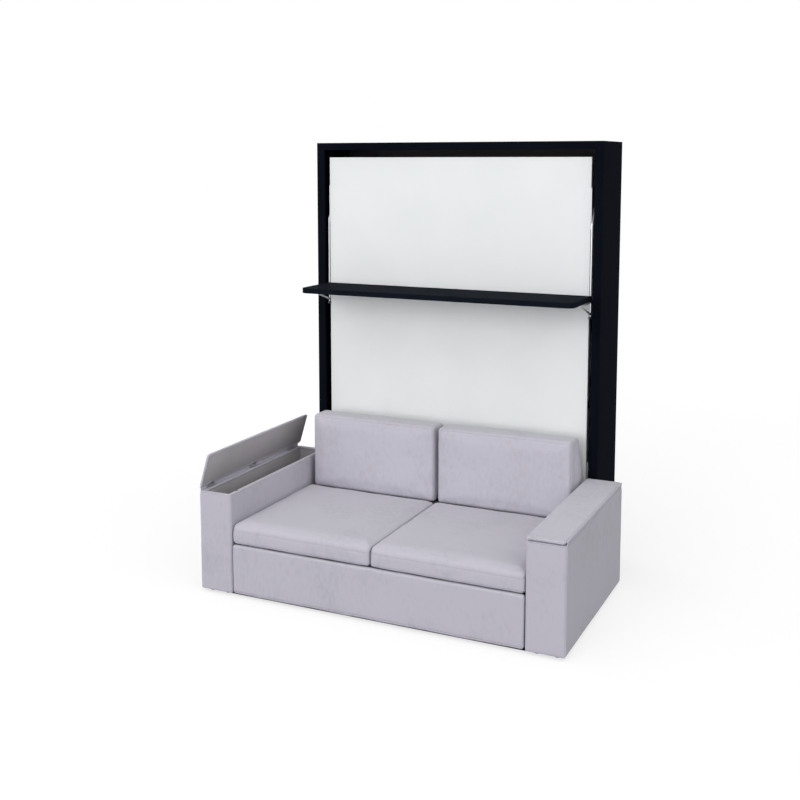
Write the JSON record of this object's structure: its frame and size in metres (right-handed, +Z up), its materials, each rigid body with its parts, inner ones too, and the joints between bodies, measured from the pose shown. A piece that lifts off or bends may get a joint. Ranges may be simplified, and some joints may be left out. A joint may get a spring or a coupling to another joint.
{
  "type": "wall bed with sofa",
  "caption": "Vertical wall bed with a white front panel and folding-leg shelf, closed into a dark cabinet behind a two-seat sofa with lidded storage arms.",
  "frame": {"origin": "centre of the base: midway across the sofa, midway between the wall face and the sofa's front, on the floor", "axes": "+Z up, +Y towards the wall, +X to the right as seen from the room"},
  "size_m": [1.82, 1.31, 2.16],
  "materials": {
    "black_board": "fine matt lacquer on board, black with a navy tint",
    "back_board": "dark laminated hardboard",
    "white_board": "matt white laminate",
    "box_board": "board lined with grey-mauve paper laminate",
    "plywood": "sanded plywood",
    "birch": "bent laminated birch",
    "frame_steel": "grey powder coat",
    "bright_steel": "satin zinc plate",
    "chrome_rod": "polished piston rod",
    "black_plastic": "moulded black plastic",
    "nylon": "natural nylon",
    "sofa_fabric": "soft flat-woven fabric, pale grey with a lilac tint",
    "mattress_fabric": "quilted mattress ticking",
    "strap": "woven elastic webbing"
  },
  "bodies": {
    "carcass": {"cabinet_side_left": "black_board", "cabinet_side_right": "black_board", "front_stile_left": "black_board", "front_stile_right": "black_board", "header_rail": "black_board", "top_board": "black_board", "bottom_board": "black_board", "plinth": "black_board", "back_panel": "back_board", "wall_rails": "plywood", "feet": "black_plastic", "bearing_plates": "bright_steel", "strut_anchor_plates": "bright_steel", "base_front": "sofa_fabric", "base_rear_rail": "plywood", "base_side_rails": "plywood", "fixed_runners": "bright_steel", "joining_plates": "frame_steel", "arm_box_left": "box_board", "arm_box_right": "box_board", "arm_cover_left": "sofa_fabric", "arm_cover_right": "sofa_fabric", "lid_box_leaves": "bright_steel", "lid_hinge_pins": "bright_steel", "lid_buffers": "black_plastic"},
    "bed": {"front_panel": "white_board", "bed_side_rail_left": "frame_steel", "bed_side_rail_right": "frame_steel", "bed_end_rails": "frame_steel", "bed_cross_bars": "frame_steel", "slats": "birch", "slat_caps": "black_plastic", "mattress": "mattress_fabric", "mattress_straps": "strap", "bed_pivot_arms": "bright_steel", "pivot_bushes": "nylon", "leg_hinge_plates": "bright_steel", "back_cushion_left": "sofa_fabric", "back_cushion_right": "sofa_fabric", "backrest_ledge": "frame_steel", "backrest_brackets": "frame_steel"},
    "shelf_unit": {"shelf": "black_board", "shelf_leg_left": "bright_steel", "shelf_leg_right": "bright_steel", "leg_foot_pads": "black_plastic"},
    "rod_left": {"levelling_rod_left": "bright_steel"},
    "rod_right": {"levelling_rod_right": "bright_steel"},
    "strut_body_left": {"strut_cylinder_left": "frame_steel"},
    "strut_body_right": {"strut_cylinder_right": "frame_steel"},
    "strut_piston_left": {"strut_rod_left": "chrome_rod"},
    "strut_piston_right": {"strut_rod_right": "chrome_rod"},
    "seat": {"seat_cushion_left": "sofa_fabric", "seat_cushion_right": "sofa_fabric", "seat_platform": "plywood", "seat_battens": "plywood", "sliding_runners": "bright_steel"},
    "lid_left": {"lid_left": "sofa_fabric", "lid_leaves_left": "bright_steel"},
    "lid_right": {"lid_right": "sofa_fabric", "lid_leaves_right": "bright_steel"}
  },
  "joints": [
    {"name": "bed_hinge", "type": "hinge", "parent": "carcass", "child": "bed", "pos_m": [0, 0.33, 0.46], "axis": [1, 0, 0], "range_deg": [0, 90]},
    {"name": "shelf_fold", "type": "hinge", "parent": "bed", "child": "shelf_unit", "pos_m": [0, 0.33, 1.757], "axis": [1, 0, 0], "range_deg": [-90.1, 0]},
    {"name": "rod_left_pivot", "type": "hinge", "parent": "carcass", "child": "rod_left", "pos_m": [-0.7315, 0.375, 0.53], "axis": [1, 0, 0], "range_deg": [0, 90.1]},
    {"name": "strut_left_pivot", "type": "hinge", "parent": "carcass", "child": "strut_body_left", "pos_m": [-0.7465, 0.595, 1], "axis": [1, 0, 0], "range_deg": [0, 12.89]},
    {"name": "strut_left_stroke", "type": "slide", "parent": "strut_body_left", "child": "strut_piston_left", "axis": [0, -0.3371, -0.9415], "range_m": [-0.24262, 0]},
    {"name": "rod_right_pivot", "type": "hinge", "parent": "carcass", "child": "rod_right", "pos_m": [0.7315, 0.375, 0.53], "axis": [1, 0, 0], "range_deg": [0, 90.1]},
    {"name": "strut_right_pivot", "type": "hinge", "parent": "carcass", "child": "strut_body_right", "pos_m": [0.7465, 0.595, 1], "axis": [1, 0, 0], "range_deg": [0, 12.89]},
    {"name": "strut_right_stroke", "type": "slide", "parent": "strut_body_right", "child": "strut_piston_right", "axis": [0, -0.3371, -0.9415], "range_m": [-0.24262, 0]},
    {"name": "seat_slide", "type": "slide", "parent": "carcass", "child": "seat", "axis": [0, -1, 0], "range_m": [0, 0.1605]},
    {"name": "lid_left_hinge", "type": "hinge", "parent": "carcass", "child": "lid_left", "pos_m": [-0.907, -0.185, 0.511], "axis": [0, -1, 0], "range_deg": [-73.3, 1.7]},
    {"name": "lid_right_hinge", "type": "hinge", "parent": "carcass", "child": "lid_right", "pos_m": [0.907, -0.185, 0.511], "axis": [0, 1, 0], "range_deg": [0, 75]}
  ],
  "couplings": [
    {"joint": "shelf_fold", "follows": "bed_hinge", "ratio": -1},
    {"joint": "rod_left_pivot", "follows": "bed_hinge", "ratio": 1},
    {"joint": "strut_left_pivot", "follows": "bed_hinge", "ratio": 0.14266},
    {"joint": "strut_left_stroke", "follows": "bed_hinge", "m_per_rad": -0.15414},
    {"joint": "rod_right_pivot", "follows": "bed_hinge", "ratio": 1},
    {"joint": "strut_right_pivot", "follows": "bed_hinge", "ratio": 0.14266},
    {"joint": "strut_right_stroke", "follows": "bed_hinge", "m_per_rad": -0.15414},
    {"joint": "seat_slide", "follows": "bed_hinge", "m_per_rad": 0.10186}
  ]
}
